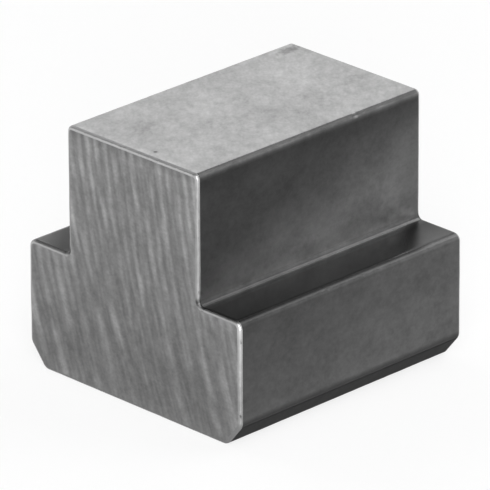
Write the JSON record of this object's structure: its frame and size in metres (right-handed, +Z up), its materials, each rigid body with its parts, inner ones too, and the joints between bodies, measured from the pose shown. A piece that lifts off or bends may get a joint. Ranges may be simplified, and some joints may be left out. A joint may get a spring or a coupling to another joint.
{
  "type": "t slot nut blank",
  "caption": "Undrilled T-section steel block that slides in a machine table's slot, with a wide flange, a narrower neck, bevelled foot edges and sawn ends.",
  "frame": {"origin": "middle of the foot, the flange's flat underside", "axes": "+X across the slot, +Y along the slot, +Z up from the foot through the neck"},
  "size_m": [0.044, 0.0458, 0.0405],
  "materials": {
    "steel": "smooth drawn faces with a faint mottle, saw marks on both ends, bright broken edges"
  },
  "bodies": {
    "root": {"nut_blank": "steel"}
  },
  "joints": []
}
